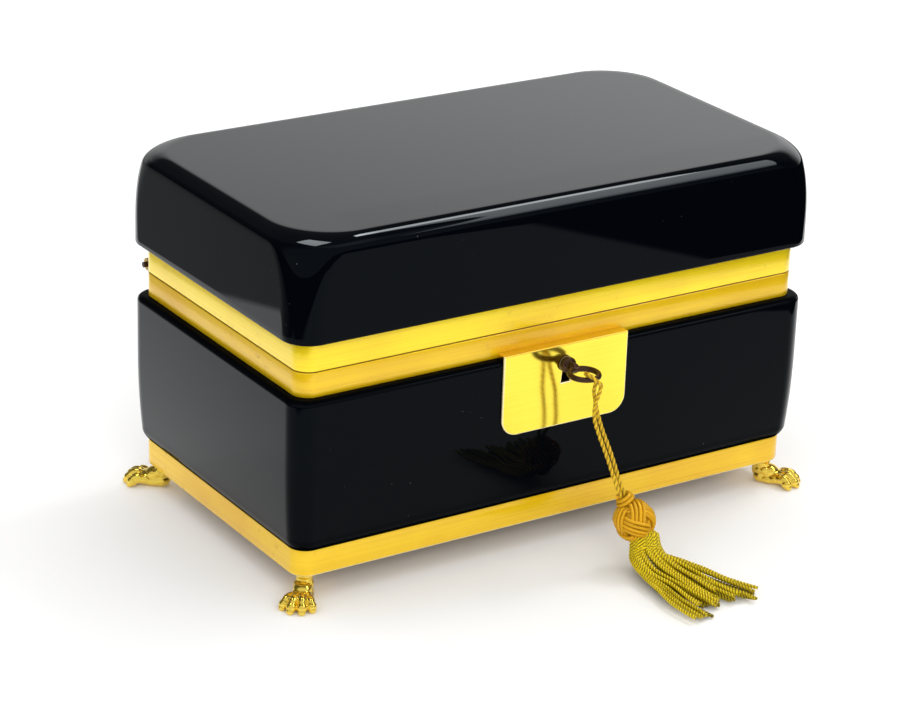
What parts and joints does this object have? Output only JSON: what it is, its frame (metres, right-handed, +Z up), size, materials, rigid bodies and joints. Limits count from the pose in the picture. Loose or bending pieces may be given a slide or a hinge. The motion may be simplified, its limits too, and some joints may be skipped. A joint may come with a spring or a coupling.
{
  "type": "glass casket",
  "caption": "Black glass casket on gilt paw feet, with brass bands, a back hinge, a working box lock and a key with a tassel.",
  "frame": {"origin": "on the table, under the middle of the glass", "axes": "+X to the right along the front, +Y to the back, +Z up"},
  "size_m": [0.1768, 0.1593, 0.1039],
  "materials": {
    "black_glass": "polished",
    "gilt_brass": "gilt",
    "plain_brass": "satin",
    "dark_steel": "browned",
    "gold_silk": "twisted silk"
  },
  "bodies": {
    "base": {"base_glass": "black_glass", "base_rim_frame": "gilt_brass", "lock_plate": "gilt_brass", "foot_frame": "gilt_brass", "paw_foot_front_left": "gilt_brass", "paw_foot_front_right": "gilt_brass", "paw_foot_back_left": "gilt_brass", "paw_foot_back_right": "gilt_brass", "foot_nuts": "plain_brass", "base_hinge_leaf": "plain_brass", "hinge_pin": "dark_steel", "base_hinge_rivets": "plain_brass", "lock_case": "plain_brass", "lock_cover": "plain_brass", "lock_screws": "dark_steel", "drill_pin": "dark_steel", "bolt_spring": "dark_steel", "tassel_cord": "gold_silk", "tassel_knot": "gold_silk", "tassel_skirt": "gold_silk"},
    "lid": {"lid_glass": "black_glass", "lid_rim_frame": "gilt_brass", "lid_hinge_leaf": "plain_brass", "lid_hinge_rivets": "plain_brass", "lid_staple": "plain_brass", "staple_rivets": "plain_brass"},
    "key": {"key": "dark_steel"},
    "bolt": {"lock_bolt": "dark_steel"}
  },
  "joints": [
    {"name": "lid_hinge", "type": "hinge", "parent": "base", "child": "lid", "pos_m": [0, 0.0467, 0.0668], "axis": [-1, 0, 0], "range_deg": [0, 100]},
    {"name": "key_turn", "type": "hinge", "parent": "base", "child": "key", "pos_m": [0, -0.05, 0.0553], "axis": [0, 1, 0], "range_deg": [-90, 0]},
    {"name": "bolt_slide", "type": "slide", "parent": "base", "child": "bolt", "axis": [1, 0, 0], "range_m": [0, 0.0042]}
  ],
  "couplings": [
    {"joint": "key_turn", "follows": "bolt_slide", "rad_per_m": -373.99}
  ]
}
